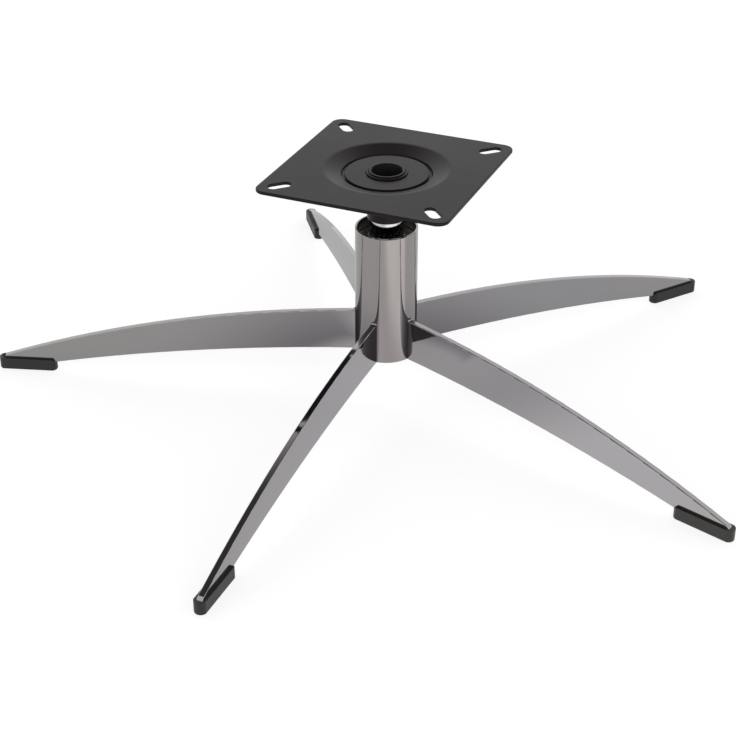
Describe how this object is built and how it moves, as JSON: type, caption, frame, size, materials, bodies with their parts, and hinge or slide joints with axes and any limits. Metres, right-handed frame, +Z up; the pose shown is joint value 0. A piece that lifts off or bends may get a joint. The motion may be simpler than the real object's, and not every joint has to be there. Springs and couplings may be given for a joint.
{
  "type": "swivel chair base",
  "caption": "Low swivel base for an upholstered chair: curved flat-bar legs on a column tube, and a slotted seat plate that turns on a thrust bearing.",
  "frame": {"origin": "on the floor, on the swivel axis", "axes": "+Z up along the swivel axis, leg_1 along -Y, the seat plate's sides along X and Y"},
  "size_m": [0.7138, 0.6795, 0.2235],
  "materials": {
    "dark_nickel": "polished dark nickel plate on steel",
    "black_powder_coat": "satin black powder coat on steel",
    "glide_plastic": "moulded black plastic",
    "bright_chrome": "ground and polished steel",
    "zinc": "turned steel, zinc plated",
    "nylon": "natural nylon",
    "bearing_steel": "ground bearing steel",
    "cage_brass": "stamped brass"
  },
  "bodies": {
    "base": {"column_tube": "dark_nickel", "leg_1": "dark_nickel", "leg_2": "dark_nickel", "leg_3": "dark_nickel", "leg_4": "dark_nickel", "leg_5": "dark_nickel", "glide_1": "glide_plastic", "glide_2": "glide_plastic", "glide_3": "glide_plastic", "glide_4": "glide_plastic", "glide_5": "glide_plastic", "upper_collar": "zinc", "upper_bush": "nylon", "carrier_plate": "zinc", "lower_bush": "nylon", "lower_race": "bearing_steel"},
    "bearing_cage": {"ball_cage": "cage_brass", "thrust_balls": "bearing_steel"},
    "swivel": {"seat_plate": "black_powder_coat", "support_disc": "black_powder_coat", "socket_sleeve": "black_powder_coat", "spindle": "bright_chrome", "spindle_foot": "zinc", "upper_race": "bearing_steel", "retaining_washer": "zinc", "snap_ring": "zinc"}
  },
  "joints": [
    {"name": "plate_swivel", "type": "hinge", "parent": "base", "child": "swivel", "pos_m": [0, 0, 0.15], "axis": [0, 0, 1], "continuous": true},
    {"name": "cage_turn", "type": "hinge", "parent": "base", "child": "bearing_cage", "pos_m": [0, 0, 0.0585], "axis": [0, 0, 1], "continuous": true}
  ],
  "couplings": [
    {"joint": "cage_turn", "follows": "plate_swivel", "ratio": 0.5}
  ]
}
